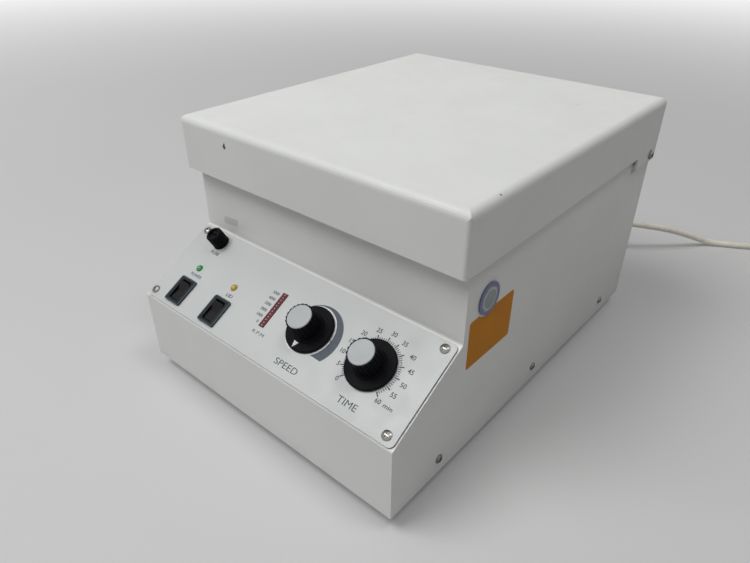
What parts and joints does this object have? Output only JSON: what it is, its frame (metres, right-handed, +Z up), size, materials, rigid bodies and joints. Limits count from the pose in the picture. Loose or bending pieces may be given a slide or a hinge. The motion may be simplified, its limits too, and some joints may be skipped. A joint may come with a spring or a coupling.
{
  "type": "bench centrifuge",
  "caption": "Bench centrifuge with a hinged sheet-steel lid, sloped control panel with knobs and rockers, angle rotor in a steel bowl and mains cord.",
  "frame": {"origin": "centre of the footprint on the table, under the feet, without the mains cord", "axes": "+X to the user's right, +Y to the rear where the lid hinges, +Z up; the control panel faces -Y"},
  "size_m": [0.5163, 0.6227, 0.214],
  "materials": {
    "case_paint": "satin powder coat, off-white",
    "lid_paint": "satin powder coat, off-white",
    "plate_paint": "satin, cool grey-white, printed",
    "liner_paint": "satin",
    "zinc_sheet": "zinc-plated sheet",
    "screw_steel": "nickel-plated",
    "stainless": "drawn stainless",
    "rubber_black": "matte",
    "knob_black": "satin",
    "rocker_black": "gloss",
    "frame_slate": "satin",
    "cap_grey": "satin",
    "lamp_green": "diffused",
    "lamp_amber": "diffused",
    "bar_red": "dark red window",
    "board_green": "solder mask",
    "part_dark": "moulded",
    "timer_case": "passivated",
    "brass": "plain",
    "fuse_glass": "clear tube with end caps",
    "motor_paint": "semi-gloss",
    "shaft_steel": "ground",
    "rotor_alu": "anodised",
    "solenoid_steel": "semi-gloss",
    "plug_clear": "translucent blue-white",
    "core_iron": "varnished laminations",
    "coil_copper": "taped winding",
    "cord_cream": "cream PVC"
  },
  "bodies": {
    "case": {"case_shell": "case_paint", "base_pan": "zinc_sheet", "side_screws": "screw_steel", "feet": "rubber_black", "foot_screws": "screw_steel", "rear_panel": "case_paint", "rear_screws": "screw_steel", "control_plate": "plate_paint", "panel_screws": "screw_steel", "rocker_frames": "frame_slate", "green_lamp": "lamp_green", "amber_lamp": "lamp_amber", "bar_display": "bar_red", "display_board": "board_green", "speed_pot": "zinc_sheet", "timer_unit": "timer_case", "panel_nuts": "screw_steel", "fuse_holder": "knob_black", "bowl": "stainless", "bowl_gasket": "rubber_black", "neck_seal": "rubber_black", "motor": "motor_paint", "motor_plate": "zinc_sheet", "motor_screws": "screw_steel", "motor_mounts": "rubber_black", "motor_pillars": "zinc_sheet", "hinge_screws": "screw_steel", "hinge_bushes": "brass", "hinge_nuts": "screw_steel", "latch_housing": "part_dark", "latch_solenoid": "solenoid_steel", "transformer_core": "core_iron", "transformer_coil": "coil_copper", "speed_board": "board_green", "board_parts": "part_dark", "board_posts": "screw_steel", "cord_gland": "rubber_black", "mains_cord": "cord_cream", "cord_coil": "cord_cream", "mains_plug": "cord_cream"},
    "lid": {"lid_pan": "lid_paint", "lid_liner": "liner_paint", "lid_ribs": "zinc_sheet", "latch_striker": "screw_steel"},
    "rotor_set": {"drive_shaft": "shaft_steel", "rotor": "rotor_alu", "rotor_nut": "screw_steel"},
    "speed_control": {"speed_shaft": "shaft_steel", "speed_knob": "knob_black", "speed_cap": "cap_grey"},
    "time_control": {"time_shaft": "shaft_steel", "time_knob": "knob_black", "time_cap": "cap_grey"},
    "power_switch": {"power_rocker": "rocker_black"},
    "lid_switch": {"lid_rocker": "rocker_black"},
    "fuse_insert": {"fuse_carrier": "brass", "fuse_link": "fuse_glass"},
    "fuse_top": {"fuse_cap": "knob_black"},
    "lock_plunger": {"latch_plunger": "shaft_steel"},
    "side_plug": {"release_plug": "plug_clear"}
  },
  "joints": [
    {"name": "lid_hinge", "type": "hinge", "parent": "case", "child": "lid", "pos_m": [0, 0.1705, 0.1658], "axis": [-1, 0, 0], "range_deg": [0, 100]},
    {"name": "rotor_spin", "type": "hinge", "parent": "case", "child": "rotor_set", "pos_m": [0, 0.0507, 0.103], "axis": [0, 0, -1], "continuous": true},
    {"name": "speed_turn", "type": "hinge", "parent": "case", "child": "speed_control", "pos_m": [0.0292, -0.14958, 0.09501], "axis": [0, 0.4967, -0.8679], "range_deg": [0, 297]},
    {"name": "time_turn", "type": "hinge", "parent": "case", "child": "time_control", "pos_m": [0.0877, -0.15019, 0.09466], "axis": [0, 0.4967, -0.8679], "range_deg": [-66.5, 199.5]},
    {"name": "power_press", "type": "hinge", "parent": "case", "child": "power_switch", "pos_m": [-0.1029, -0.17035, 0.08198], "axis": [1, 0, 0], "range_deg": [-16, 0]},
    {"name": "lid_press", "type": "hinge", "parent": "case", "child": "lid_switch", "pos_m": [-0.058, -0.17035, 0.08198], "axis": [1, 0, 0], "range_deg": [-16, 0], "stiffness_Nm_per_rad": 0.08},
    {"name": "fuse_pull", "type": "slide", "parent": "case", "child": "fuse_insert", "axis": [0, -0.4967, 0.8679], "range_m": [0, 0.045]},
    {"name": "fuse_twist", "type": "hinge", "parent": "fuse_insert", "child": "fuse_top", "pos_m": [-0.1042, -0.1251, 0.10902], "axis": [0, 0.4967, -0.8679], "range_deg": [-60, 0]},
    {"name": "lock_slide", "type": "slide", "parent": "case", "child": "lock_plunger", "axis": [1, 0, 0], "range_m": [0, 0.012]},
    {"name": "plug_pull", "type": "slide", "parent": "case", "child": "side_plug", "axis": [1, 0, 0], "range_m": [0, 0.02]}
  ]
}
